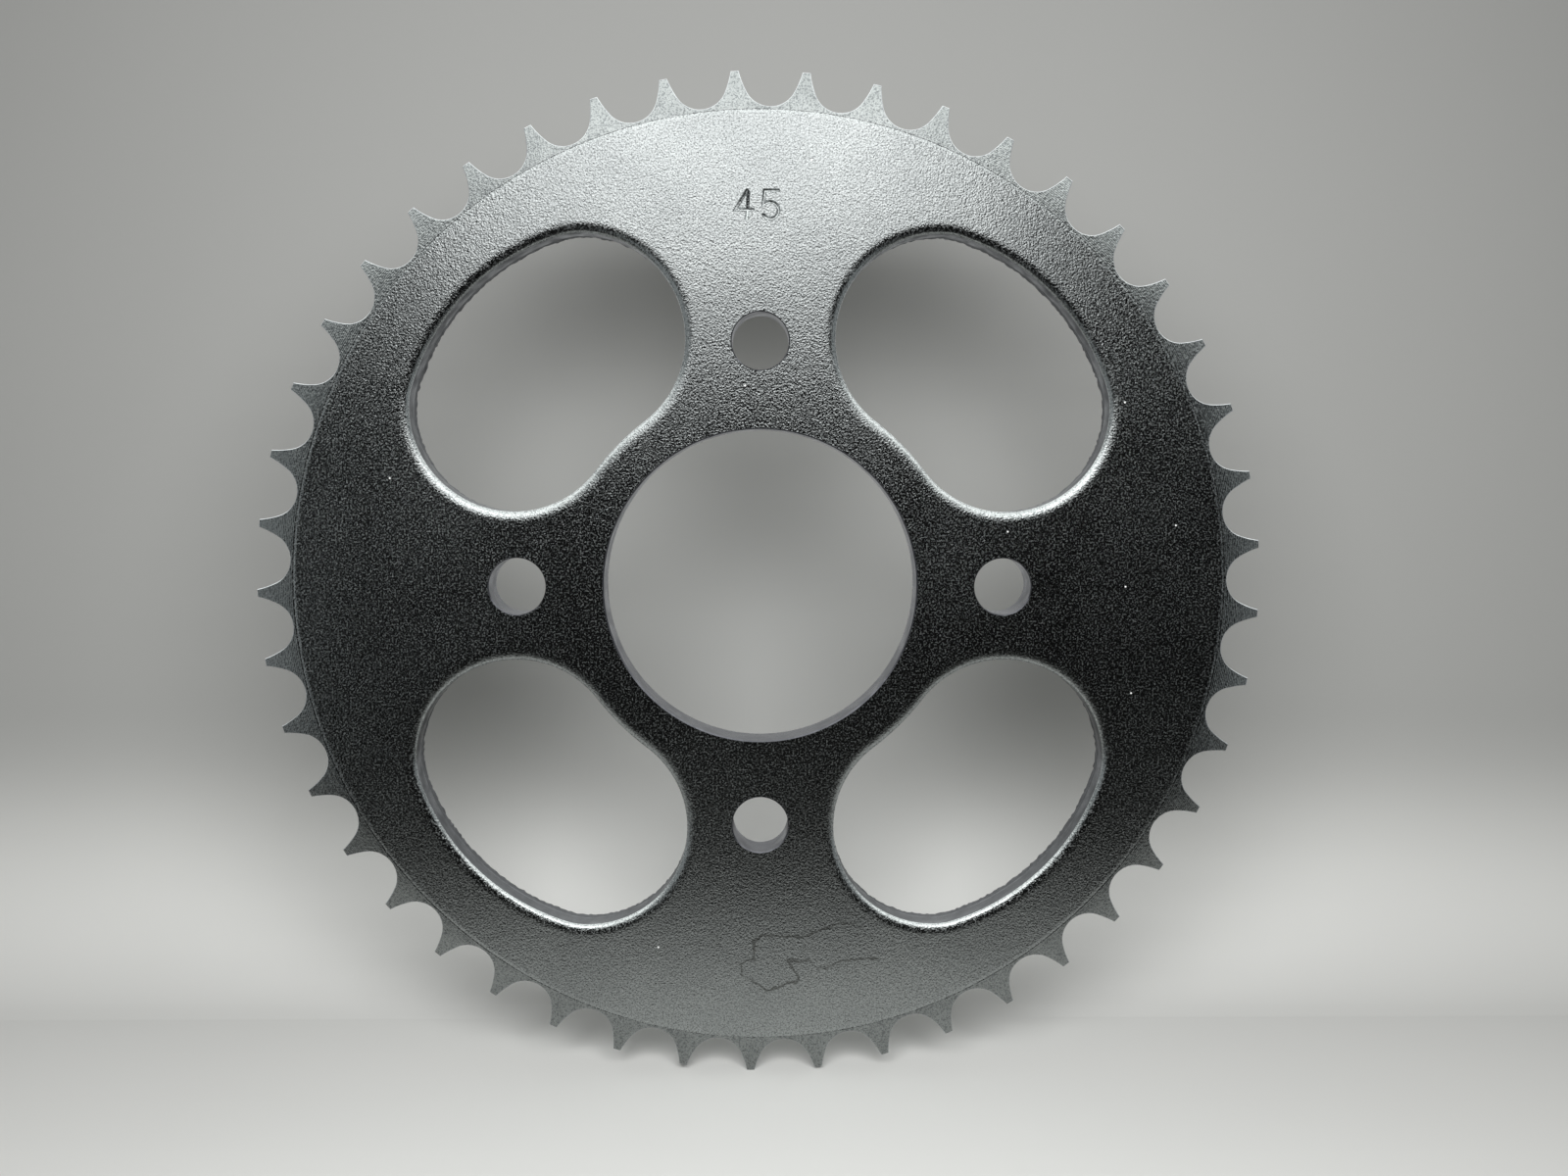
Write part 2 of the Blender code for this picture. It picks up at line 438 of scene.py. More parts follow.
def new_group(name: str, inputs: dict[str, float], outputs: Sequence[str]) -> Graph:
    """Start a shader node group that reads a place and puts out numbers.

    Args:
        name: Name of the group.
        inputs: Default of each number that it takes, by name.
        outputs: Name of each number that it puts out.

    Returns:
        The group's tree, with its input and output nodes in place.
    """
    tree = bpy.data.node_groups.new(name, "ShaderNodeTree")
    add_socket = tree.interface.new_socket
    add_socket("Vector", in_out="INPUT", socket_type="NodeSocketVector")
    for label, default in inputs.items():
        number = add_socket(label, in_out="INPUT", socket_type="NodeSocketFloat")
        number.default_value = default
    for label in outputs:
        add_socket(label, in_out="OUTPUT", socket_type="NodeSocketFloat")
    tree.nodes.new("NodeGroupInput")
    tree.nodes.new("NodeGroupOutput")
    return Graph(tree)


BROAD_GRAIN = 0.22
FLECK_RANGE = (0.47, 0.66)
PIT_RANGE = (0.52, 0.36)
PIT_SHIFT = (0.3, 0.7, 0.1)
NICK_RARITY = 0.9


def plating_grain_group() -> NodeTree:
    """Rolled sheet's fine grain under the plating, as a height."""
    graph = new_group("plating_grain", {"Scale": 2600.0, "Coarse": 0.25}, ["Height"])
    given = graph.tree.nodes["Group Input"].outputs
    fine = graph.noise(given["Vector"], given["Scale"], 1.5)
    broad_scale = graph.math("MULTIPLY", given["Scale"], BROAD_GRAIN)
    broad = graph.noise(given["Vector"], broad_scale, 1.0)
    return graph.put_out({"Height": graph.plus(fine, broad, given["Coarse"])})


def fleck_group() -> NodeTree:
    """Close-set rough flecks and dark pits of the plating, each a mask from 0 to 1."""
    graph = new_group("flecks", {"Scale": 3000.0}, ["Rough", "Pit"])
    given = graph.tree.nodes["Group Input"].outputs
    rough = graph.noise(given["Vector"], given["Scale"], 1.0)
    aside = graph.vector("ADD", given["Vector"], PIT_SHIFT)
    pit = graph.noise(aside, given["Scale"], 1.0)
    return graph.put_out({"Rough": graph.ramp(rough, *FLECK_RANGE), "Pit": graph.ramp(pit, *PIT_RANGE)})


def smudge_group() -> NodeTree:
    """Broad uneven patches left by plating and handling, as a mask from 0 to 1."""
    graph = new_group("smudges", {"Scale": 60.0, "Contrast": 0.2}, ["Mask"])
    given = graph.tree.nodes["Group Input"].outputs
    cloud = graph.noise(given["Vector"], given["Scale"], 3.0, 0.6)
    low = graph.math("SUBTRACT", 0.5, given["Contrast"])
    high = graph.math("ADD", 0.5, given["Contrast"])
    return graph.put_out({"Mask": graph.ramp(cloud, low, high)})


def nick_group() -> NodeTree:
    """Sparse tiny nicks in the plating, as a mask from 0 to 1."""
    graph = new_group("nicks", {"Scale": 160.0, "Size": 0.05}, ["Mask"])
    given = graph.tree.nodes["Group Input"].outputs
    cells = graph.add("TexVoronoi", {"Vector": given["Vector"], "Scale": given["Scale"]})
    chance = graph.add("SeparateColor", {"Color": cells.outputs["Color"]}).outputs["Red"]
    near = graph.math("LESS_THAN", cells.outputs["Distance"], given["Size"])
    rare = graph.math("GREATER_THAN", chance, NICK_RARITY)
    return graph.put_out({"Mask": graph.math("MULTIPLY", near, rare)})


class Effects:
    """Node groups that the finishes share, each built once."""

    def __init__(self) -> None:
        """Build the groups."""
        self.grain = plating_grain_group()
        self.flecks = fleck_group()
        self.smudges = smudge_group()
        self.nicks = nick_group()

    @staticmethod
    def use(graph: Graph, group: NodeTree, place: NodeSocket, scale: float,
            output: str = "Mask", **more: float) -> NodeSocket:
        """One output of a group placed in a material with its own values."""
        node = graph.add("Group", node_tree=group)
        graph.wire(node, {"Vector": place, "Scale": scale, **more})
        return node.outputs[output]


def steel_material(name: str) -> tuple[Material, Graph, Node]:
    """Start a metal material.

    Args:
        name: Name of the material.

    Returns:
        The material, its tree and its shader.
    """
    material = bpy.data.materials.new(name)
    material.use_nodes = True
    shader = material.node_tree.nodes["Principled BSDF"]
    shader.inputs["Metallic"].default_value = 1.0
    return material, Graph(material.node_tree), shader


@dataclass(frozen=True)
class PlatedFace:
    """Two tones in broad patches, with rough flecks and dark pits over them."""

    bright: Colour
    dull: Colour
    roughness: tuple[float, float]
    patch_scale: float
    fleck_scale: float
    fleck_roughness: float
    pit_strength: float
    pit_tone: Colour

    def build(self, graph: Graph, effects: Effects, place: NodeSocket) -> tuple[NodeSocket, NodeSocket]:
        """Work out the face's colour and roughness.

        Args:
            graph: Tree of the material.
            effects: Shared node groups.
            place: Object coordinates.

        Returns:
            The colour and the roughness.
        """
        patch = effects.use(graph, effects.smudges, place, self.patch_scale)
        flecks = effects.use(graph, effects.flecks, place, self.fleck_scale, "Rough")
        pits = effects.use(graph, effects.flecks, place, self.fleck_scale, "Pit")
        tone = graph.blend(patch, self.bright, self.dull)
        tone = graph.blend(graph.math("MULTIPLY", pits, self.pit_strength), tone, self.pit_tone)
        rough = graph.ramp(patch, 0.0, 1.0, self.roughness, smooth=False)
        return tone, graph.plus(rough, flecks, self.fleck_roughness)


@dataclass(frozen=True)
class FlatPlating:
    """Zinc over the rolled sheet's flat faces, and the edges drawn down by a tool."""

    name: str
    grain_height: float
    face: PlatedFace = PlatedFace(
        bright=(0.59, 0.62, 0.618, 1.0), dull=(0.53, 0.558, 0.558, 1.0),
        roughness=(0.12, 0.17), patch_scale=45.0, fleck_scale=3000.0,
        fleck_roughness=0.25, pit_strength=0.48, pit_tone=(0.12, 0.13, 0.13, 1.0),
    )
    grain_scale: float = 3100.0
    nick_scale: float = 150.0
    nick_roughness: float = 0.12
    nick_depth: float = 0.6
    scuffs: tuple[tuple[float, float], ...] = (
        (-2.8, 36.9), (-68.0, 19.9), (45.8, 10.2), (67.9, 0.0), (69.4, -20.0),
        (-19.3, -68.6), (77.0, 11.4), (67.0, 34.0), (9.3, 77.3),
    )
    scuff_radius: float = 0.22 * MM
    scuff_core: float = 0.6
    scuff_tone: Colour = (0.82, 0.83, 0.82, 1.0)
    scuff_matt: float = 0.8
    scuff_roughness: float = 0.3
    stain_edges: tuple[tuple[tuple[float, float], ...], ...] = (
        ((-1.0, -71.0), (-3.7, -71.8), (-3.4, -73.8), (0.8, -77.2), (7.0, -75.6),
         (7.5, -74.6), (5.2, -71.2), (9.6, -71.4), (10.9, -73.1), (17.2, -71.0),
         (22.3, -71.2)),
        ((-1.2, -70.8), (-1.3, -67.4), (0.5, -66.1), (7.2, -66.7), (11.7, -65.1),
         (17.8, -63.6)),
    )
    stain_width: float = 0.32 * MM
    stain_core: float = 0.35
    stain_strength: float = 0.62
    stain_tone: Colour = (0.12, 0.12, 0.11, 1.0)
    stain_sway: float = 2.4 * MM
    sway_scale: float = 420.0
    fade_scale: float = 160.0
    fade_range: tuple[float, float] = (0.1, 0.42)
    flattening: tuple[float, float, float] = (1.0, 0.15, 1.0)

    def build(self, effects: Effects) -> Material:
        """Make the material.

        Args:
            effects: Shared node groups.

        Returns:
            The finished material.
        """
        material, graph, shader = steel_material(self.name)
        place = graph.add("TexCoord").outputs["Object"]
        grain = effects.use(graph, effects.grain, place, self.grain_scale, "Height")
        nick = effects.use(graph, effects.nicks, place, self.nick_scale)
        tone, rough = self.face.build(graph, effects, place)
        stain = graph.math("MULTIPLY", self.water_mark(graph, place), self.stain_strength)
        tone = graph.blend(stain, tone, self.stain_tone)
        scuff = self.scuff_mask(graph, place)
        rough = graph.plus(rough, scuff, self.scuff_roughness)
        height = graph.plus(grain, nick, -self.nick_depth)
        bump = graph.add("Bump", {"Height": height, "Distance": self.grain_height})
        graph.wire(shader, {
            "Base Color": graph.blend(scuff, tone, self.scuff_tone),
            "Metallic": graph.plus(1.0, scuff, -self.scuff_matt),
            "Roughness": graph.plus(rough, nick, self.nick_roughness),
            "Normal": bump.outputs["Normal"],
        })
        return material

    def scuff_mask(self, graph: Graph, place: NodeSocket) -> NodeSocket:
        """Mask of the small bright scuffs on the numbered face.

        Args:
            graph: Tree of the material.
            place: Object coordinates.

        Returns:
            The mask, 1 inside a scuff.
        """
        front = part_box(PLATE_NODE)[0].y
        mask = 0.0
        for x, z in self.scuffs:
            spot = (x * MM, front, z * MM)
            away = graph.vector("DISTANCE", place, spot)
            inside = graph.ramp(away, self.scuff_radius, self.scuff_core * self.scuff_radius)
            mask = graph.math("MAXIMUM", mask, inside)
        return mask

    def water_mark(self, graph: Graph, place: NodeSocket) -> NodeSocket:
        """Mask of the thin dark line left where a splash of water dried.

        Args:
            graph: Tree of the material.
            place: Object coordinates.

        Returns:
            The mask, 1 on the line.
        """
        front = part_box(PLATE_NODE)[0].y
        wander = graph.noise(place, self.sway_scale, 3.0, output="Color")
        sway = graph.vector("SCALE", graph.vector("SUBTRACT", wander, GREY_MIDDLE), self.stain_sway)
        moved = graph.vector("ADD", place, sway)
        nearest = 1.0
        for trail in self.stain_edges:
            for start, end in zip(trail, trail[1:]):
                first = Vector((start[0] * MM, front, start[1] * MM))
                run = Vector((end[0] * MM, front, end[1] * MM)) - first
                away = self.distance_to(graph, moved, first, run)
                nearest = graph.math("MINIMUM", nearest, away)
        strength = graph.ramp(graph.noise(place, self.fade_scale, 1.0), *self.fade_range)
        line = graph.ramp(nearest, self.stain_width, self.stain_core * self.stain_width)
        return graph.math("MULTIPLY", line, strength)

    def distance_to(self, graph: Graph, place: NodeSocket, first: Vector, run: Vector) -> NodeSocket:
        """Distance from the surface's point to one straight run of the line.

        Args:
            graph: Tree of the material.
            place: The surface's point.
            first: Start of the run.
            run: From its start to its end.

        Returns:
            The distance, flattened along Y by the run's own depth.
        """
        offset = graph.vector("SUBTRACT", place, first)
        level = graph.vector("MULTIPLY", offset, self.flattening)
        along = graph.vector("DOT_PRODUCT", level, run / run.length_squared)
        part = graph.math("MULTIPLY", along, 1.0, clamp=True)
        return graph.vector("DISTANCE", level, graph.vector("SCALE", run, part))


@dataclass(frozen=True)
class TurnedSide:
    """Lathe-turned relief of the tooth sides, plated over fine concentric lines."""

    face: PlatedFace = PlatedFace(
        bright=(0.46, 0.485, 0.48, 1.0), dull=(0.39, 0.412, 0.41, 1.0),
        roughness=(0.12, 0.20), patch_scale=140.0, fleck_scale=2900.0,
        fleck_roughness=0.24, pit_strength=0.5, pit_tone=(0.10, 0.11, 0.12, 1.0),
    )
    line_spacing: float = 0.34 * MM
    line_height: float = 0.006 * MM
    grain_scale: float = 2700.0
    grain_height: float = 0.07 * MM

    def build(self, effects: Effects) -> Material:
        """Make the material.

        Args:
            effects: Shared node groups.

        Returns:
            The finished material.
        """
        material, graph, shader = steel_material("turned_plating")
        place = graph.add("TexCoord").outputs["Object"]
        grain = effects.use(graph, effects.grain, place, self.grain_scale, "Height")
        tone, rough = self.face.build(graph, effects, place)
        axes = graph.add("SeparateXYZ", {0: place})
        square_x = graph.math("MULTIPLY", axes.outputs["X"], axes.outputs["X"])
        square_z = graph.math("MULTIPLY", axes.outputs["Z"], axes.outputs["Z"])
        radius = graph.math("SQRT", graph.math("ADD", square_x, square_z))
        ridges = graph.math("SINE", graph.math("MULTIPLY", radius, FULL_TURN / self.line_spacing))
        lines = graph.add("Bump", {"Height": ridges, "Distance": self.line_height})
        bump = graph.add("Bump", {"Height": grain, "Distance": self.grain_height,
                                  "Normal": lines.outputs["Normal"]})
        graph.wire(shader, {"Base Color": tone, "Roughness": rough, "Normal": bump.outputs["Normal"]})
        return material


@dataclass(frozen=True)
class CutWall:
    """Plated wall left by a tool that passed along Y, with its drag marks."""

    name: str
    bright: Colour
    dull: Colour
    roughness: tuple[float, float]
    drag_scale: float
    drag_height: float
    drag_stretch: float = 0.12
    patch_scale: float = 300.0
    torn_from: float | None = None
    torn_scale: float = 1900.0
    torn_coarse: float = 1.5
    torn_height: float = 5.0
    torn_fade: tuple[float, float] = (-0.2 * MM, 0.3 * MM)

    def build(self, effects: Effects) -> Material:
        """Make the material.

        Args:
            effects: Shared node groups.

        Returns:
            The finished material.
        """
        material, graph, shader = steel_material(self.name)
        place = graph.add("TexCoord").outputs["Object"]
        drawn = graph.add("Mapping", {"Vector": place, "Scale": (1.0, self.drag_stretch, 1.0)})
        height = graph.noise(drawn.outputs["Vector"], self.drag_scale, 3.0, 0.6)
        patch = effects.use(graph, effects.smudges, place, self.patch_scale)
        if self.torn_from is not None:
            grain = effects.use(graph, effects.grain, place, self.torn_scale, "Height",
                                Coarse=self.torn_coarse)
            depth = graph.add("SeparateXYZ", {0: place}).outputs["Y"]
            torn = graph.ramp(depth, *(self.torn_from + part for part in self.torn_fade))
            height = graph.plus(height, grain, graph.math("MULTIPLY", torn, self.torn_height))
            patch = graph.math("MAXIMUM", patch, torn)
        bump = graph.add("Bump", {"Height": height, "Distance": self.drag_height})
        graph.wire(shader, {
            "Base Color": graph.blend(patch, self.bright, self.dull),
            "Roughness": graph.ramp(patch, 0.0, 1.0, self.roughness, smooth=False),
            "Normal": bump.outputs["Normal"],
        })
        return material


@dataclass
class SprocketPlate:
    """The whole sprocket: one plated steel plate."""

    teeth: ToothForm = field(default_factory=ToothForm)
    windows: WindowForm = field(default_factory=WindowForm)
    stamp: StampForm = field(default_factory=StampForm)
    bore_radius: float = 29.0 * MM
    bore_chamfer: float = 0.25 * MM
    bore_stations: int = 192
    bolt_holes: int = 4
    bolt_hole_radius: float = 5.25 * MM
    bolt_hole_chamfer: float = 0.2 * MM
    bolt_hole_burr: float = 0.05 * MM
    bolt_hole_stations: int = 72
    bolt_circle_radius: float = 45.0 * MM
    sharp_angle: float = math.radians(30.0)

    def __post_init__(self) -> None:
        """Take the plate's faces from the CAD node."""
        low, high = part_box(PLATE_NODE)
        self.front = low.y
        self.back = high.y

    def build(self) -> Object:
        """Make the plate and dress it.

        Returns:
            The finished object, riding on its body.
        """
        mesh = bmesh.new()
        mesh.verts.layers.int.new("row")
        mesh.verts.layers.float.new("across")
        mesh.verts.layers.int.new("station")
        self.add_tooth(mesh)
        self.repeat_tooth(mesh)
        self.add_holes(mesh)
        self.fill_faces(mesh)
        plate = self.finish_mesh(mesh)
        self.dress(plate)
        self.stamp_count(plate)
        plate.data.set_sharp_from_angle(angle=self.sharp_angle)
        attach(plate, "root")
        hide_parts(PLATE_NODE)
        return plate

    def place_tooth_verts(self, mesh: BMesh, verts: Sequence[BMVert], land: float, drop: float) -> None:
        """Put one tooth's vertices at the front where their row and column say.

        Args:
            mesh: Mesh that holds the row and column layers.
            verts: Vertices to place.
            land: How far the tooth's edge is set back.
            drop: How far below the tooth's side they lie.
        """
        row_layer = mesh.verts.layers.int["row"]
        across_layer = mesh.verts.layers.float["across"]
        rows = self.teeth.rows(land)
        for vert in verts:
            radius, half = rows[vert[row_layer]]
            point = polar(radius, self.teeth.first_tip_angle + vert[across_layer] * half)
            depth = self.front + self.teeth.side_depth(radius) + drop
            vert.co = (point.x, depth, point.y)

    def add_tooth(self, mesh: BMesh) -> None:
        """Make the first tooth with its share of the rim, front and back."""
        form = self.teeth
        row_layer = mesh.verts.layers.int["row"]
        across_layer = mesh.verts.layers.float["across"]
        last_row = len(form.rows(0.0)) - 1
        side = bmesh.ops.create_grid(
            mesh, x_segments=form.columns, y_segments=last_row, size=1.0
        )["verts"]
        for vert in side:
            vert[row_layer] = round((vert.co.y + 1.0) / 2.0 * last_row)
            vert[across_layer] = vert.co.x
        first_gap_row = last_row - form.seat_steps - form.flank_steps
        relief_row = first_gap_row - 2
        rim = [
            vert for vert in side
            if vert[row_layer] >= first_gap_row
            and (abs(vert[across_layer]) > 0.999 or vert[row_layer] == last_row)
        ]
        for face in mesh.faces:
            turned = min(vert[row_layer] for vert in face.verts) >= relief_row
            face.material_index = (Surface.TURNED if turned else Surface.FLAT).value
        self.place_tooth_verts(mesh, side, form.edge_break, 0.0)
        edge = extrude_verts(mesh, open_edges(rim), Surface.TOOTH_GAP)
        self.place_tooth_verts(mesh, edge, 0.0, form.edge_break)
        copy = bmesh.ops.duplicate(mesh, geom=mesh.verts[:] + mesh.edges[:] + mesh.faces[:])
        flip = Vector((1.0, -1.0, 1.0))
        back = [item for item in copy["geom"] if isinstance(item, BMVert)]
        bmesh.ops.scale(mesh, vec=flip, verts=back)
        wall = extrude_verts(mesh, open_edges(edge), Surface.TOOTH_GAP)
        bmesh.ops.scale(mesh, vec=flip, verts=wall)

    def repeat_tooth(self, mesh: BMesh) -> None:
        """Copy the first tooth round the rim and join the copies."""
        others = self.teeth.teeth - 1
        bmesh.ops.spin(
            mesh, geom=mesh.verts[:] + mesh.edges[:] + mesh.faces[:], cent=ORIGIN,
            axis=(0.0, 1.0, 0.0), dvec=ORIGIN, angle=self.teeth.pitch_angle * others,
            steps=others, use_merge=False, use_duplicate=True,
        )
        bmesh.ops.remove_doubles(mesh, verts=mesh.verts, dist=0.002 * MM)

    def loft_hole(
        self, mesh: BMesh, outline: Callable[[float], list[Vector]],
        levels: Sequence[Level], turn: float,
    ) -> None:
        """Make a hole's wall by extruding a loop down through the plate.

        Args:
            mesh: Mesh to add to.
            outline: Gives the loop's points for a growth.
            levels: The loops, from the front face to the back one.
            turn: Angle that the outline is turned by.
        """
        station = mesh.verts.layers.int["station"]
        count = len(outline(0.0))
        loop = bmesh.ops.create_circle(mesh, cap_ends=False, radius=1.0, segments=count)["verts"]
        for vert in loop:
            vert[station] = round(math.atan2(vert.co.y, vert.co.x) / FULL_TURN * count) % count
        spin = Matrix.Rotation(turn, 2)
        for index, level in enumerate(levels):
            if index:
                loop = extrude_verts(mesh, open_edges(loop), level.surface)
            points = outline(level.grow)
            middle = outline(0.0)
            for vert in loop:
                point = points[vert[station]]
                outward = (outline_normal(middle, vert[station]) * level.raggedness
                           * torn_noise(point, level.depth, turn))
                point = spin @ (point + outward)
                vert.co = (point.x, level.depth, point.y)

    def window_levels(self) -> list[Level]:
        """Loops of a punched window: roll-over, smooth wall, then torn wall."""
        form = self.windows
        levels = [Level(form.roll_width + form.land_width, self.front, Surface.FLAT)]
        for step in range(form.roll_steps + 1):
            angle = UP * step / form.roll_steps
            grow = form.roll_width * (1.0 - math.sin(angle))
            depth = self.front + form.roll_depth * (1.0 - math.cos(angle))
            drawn = step > form.roll_steps // 2
            levels.append(Level(grow, depth, Surface.ROLLED if drawn else Surface.FLAT))
        tear_start = self.back - form.tear_depth
        middle = (self.front + form.roll_depth + tear_start) / 2.0
        levels.append(Level(0.0, middle, Surface.PUNCHED))
        levels.append(Level(0.0, tear_start, Surface.PUNCHED))
        for step in range(1, form.tear_steps + 1):
            part = step / form.tear_steps
            raggedness = form.tear_raggedness * min(2.0 * part, 1.0)
            levels.append(Level(form.tear_width * part, tear_start + form.tear_depth * part,
                                Surface.PUNCHED, raggedness))
        levels.append(Level(form.tear_width + form.land_width, self.back, Surface.FLAT))
        return levels

    def round_levels(self, hole: RoundHole) -> list[Level]:
        """Loops of a machined hole with a broken edge at each face."""
        top = self.front + hole.chamfer
        bottom = self.back - hole.chamfer
        levels = [
            Level(hole.chamfer + hole.land_width, self.front, Surface.FLAT),
            Level(hole.chamfer, self.front, Surface.FLAT, hole.burr),
            Level(0.0, top, Surface.BORED),
        ]
        for step in range(1, hole.wall_steps + 1):
            depth = top + (bottom - top) * step / hole.wall_steps
            levels.append(Level(0.0, depth, Surface.BORED))
        levels.append(Level(hole.chamfer, self.back, Surface.BORED, hole.burr))
        levels.append(Level(hole.chamfer + hole.land_width, self.back, Surface.FLAT))
        return levels

    def add_holes(self, mesh: BMesh) -> None:
        """Make the walls of the bore, the bolt holes and the windows."""
        holes = [RoundHole(self.bore_radius, self.bore_chamfer, self.bore_stations)]
        for index in range(self.bolt_holes):
            centre = polar(self.bolt_circle_radius, FULL_TURN * index / self.bolt_holes)
            holes.append(RoundHole(
                self.bolt_hole_radius, self.bolt_hole_chamfer, self.bolt_hole_stations,
                tuple(centre), burr=self.bolt_hole_burr,
            ))
        for hole in holes:
            self.loft_hole(mesh, hole.outline, self.round_levels(hole), 0.0)
        for index in range(self.windows.count):
            turn = FULL_TURN * (index + 0.5) / self.windows.count
            self.loft_hole(mesh, self.windows.outline, self.window_levels(), turn)

    def fill_faces(self, mesh: BMesh) -> None:
        """Fill the flat front and back faces between the rim and the holes."""
        for depth, facing in ((self.front, -1.0), (self.back, 1.0)):
            edges = [
                edge for edge in mesh.edges
                if edge.is_boundary and all(abs(vert.co.y - depth) < 0.01 * MM
                                            for vert in edge.verts)
            ]
            made = bmesh.ops.triangle_fill(
                mesh, use_beauty=True, use_dissolve=False, edges=edges,
                normal=(0.0, facing, 0.0),
            )
            for item in made["geom"]:
                if isinstance(item, BMFace):
                    item.material_index = Surface.FLAT.value

    def finish_mesh(self, mesh: BMesh) -> Object:
        """Turn the closed bmesh into a smooth-shaded object.

        Args:
            mesh: The plate, which is freed.

        Returns:
            The linked object.
        """
        bmesh.ops.recalc_face_normals(mesh, faces=mesh.faces)
        loose = sum(not edge.is_manifold for edge in mesh.edges)
        log.info("plate shell: %d faces, %d open edges", len(mesh.faces), loose)
        for face in mesh.faces:
            face.smooth = True
        for layer in (mesh.verts.layers.int["row"], mesh.verts.layers.int["station"]):
            mesh.verts.layers.int.remove(layer)
        mesh.verts.layers.float.remove(mesh.verts.layers.float["across"])
        return mesh_object("zinc_plated_sprocket", mesh)

    def stroke_cutter(self, path: Sequence[Vector]) -> Object:
        """Make the round-nosed tool for one stroke of the stamp.

        Args:
            path: Middle line of the stroke, as (x, z) points.

        Returns:
            The tool, as an object.
        """
        form = self.stamp
        axis_depth = self.front + form.stroke_depth - form.stroke_radius
        mesh = bmesh.new()
        mesh.verts.layers.int.new("station")
        start = (path[0] - path[1]).normalized() * form.stroke_radius
        end = (path[-1] - path[-2]).normalized() * form.stroke_radius
        stops = [(path[0] + start * out, size) for out, size in form.nose]
        stops += [(point, 1.0) for point in path]
        stops += [(path[-1] + end * out, size) for out, size in reversed(form.nose)]
        loop = bmesh.ops.create_circle(mesh, cap_ends=True, radius=1.0, segments=form.sides)["verts"]
        shape = {vert: vert.co.copy() for vert in loop}
        previous = None
        for index, (point, size) in enumerate(stops):
            before = (point - stops[max(index - 1, 0)][0]).normalized()
            after = (stops[min(index + 1, len(stops) - 1)][0] - point).normalized()
            along = (before + after).normalized()
            across = Vector((-along.y, along.x))
            bend = abs(along.dot(after if after.length else before))
            half_width = form.stroke_radius * size / max(bend, form.tightest_bend)
            if previous is not None:
                made = bmesh.ops.extrude_edge_only(mesh, edges=open_edges(previous))["geom"]
                loop = [item for item in made if isinstance(item, BMVert)]
                shape = match_ring(loop, previous, shape)
            for vert in loop:
                side = across * (shape[vert].x * half_width)
                sink = shape[vert].y * form.stroke_radius * size
                vert.co = (point.x + side.x, axis_depth + sink, point.y + side.y)
            previous = loop
        bmesh.ops.holes_fill(mesh, edges=mesh.edges)
        bmesh.ops.recalc_face_normals(mesh, faces=mesh.faces)
        return mesh_object("stamp_stroke", mesh)

    def stamp_count(self, plate: Object) -> None:
        """Sink the tooth count into the plate's front face.

        Args:
            plate: The plate's object.
        """
        for path in self.stamp.strokes():
            tool = self.stroke_cutter(path)
            tool.data.materials.append(plate.data.materials[Surface.ROLLED.value])
            cut = plate.modifiers.new("stamp", "BOOLEAN")
            cut.operation = "DIFFERENCE"
            cut.solver = "MANIFOLD"
            cut.object = tool
            with bpy.context.temp_override(object=plate, active_object=plate):
                bpy.ops.object.modifier_apply(modifier=cut.name)
            bpy.data.objects.remove(tool, do_unlink=True)

    def dress(self, plate: Object) -> None:
        """Give each surface of the plate its finish."""
        effects = Effects()
        gap = CutWall("tooth_gap_plating", (0.66, 0.69, 0.70, 1.0), (0.50, 0.52, 0.54, 1.0),
                      (0.22, 0.34), 900.0, 0.02 * MM)
        punched = CutWall("punched_plating", (0.175, 0.182, 0.19, 1.0), (0.12, 0.124, 0.13, 1.0),
                          (0.25, 0.5), 1500.0, 0.03 * MM,
                          torn_from=self.back - self.windows.tear_depth)
        bored = CutWall("bored_plating", (0.15, 0.152, 0.168, 1.0), (0.11, 0.112, 0.124, 1.0),
                        (0.22, 0.36), 1200.0, 0.02 * MM)
        finishes = {
            Surface.FLAT: FlatPlating("flat_plating", 0.07 * MM).build(effects),
            Surface.TURNED: TurnedSide().build(effects),
            Surface.TOOTH_GAP: gap.build(effects),
            Surface.PUNCHED: punched.build(effects),
            Surface.BORED: bored.build(effects),
            Surface.ROLLED: FlatPlating("rolled_plating", 0.045 * MM).build(effects),
        }
        for surface in Surface:
            plate.data.materials.append(finishes[surface])


def match_ring(
    loop: Sequence[BMVert], previous: Sequence[BMVert],
    shape: dict[BMVert, Vector],
) -> dict[BMVert, Vector]:
    """Carry each vertex's place in a ring over to the ring extruded from it.

    Args:
        loop: The new ring, still lying on the old one.
        previous: The old ring.
        shape: Place of each old vertex in the unit circle.

    Returns:
        Place of each new vertex in the unit circle.
    """
    return {vert: shape[min(previous, key=lambda old: (old.co - vert.co).length)] for vert in loop}


def outline_normal(points: Sequence[Vector], index: int) -> Vector:
    """Unit normal of a closed outline at one of its points."""
    along = points[(index + 1) % len(points)] - points[index - 1]
    return Vector((-along.y, along.x)).normalized()


TEAR_ACROSS = 1400.0
TEAR_DOWN = 700.0
TEAR_TURN = 9.0


def torn_noise(point: Vector, depth: float, turn: float) -> float:
    """Repeatable coarse and fine roughness of a torn wall, about zero."""
    where = Vector((point.x * TEAR_ACROSS, depth * TEAR_DOWN + turn * TEAR_TURN, point.y * TEAR_ACROSS))
    return noise.noise(where) + 0.5 * noise.noise(where * 2.3)


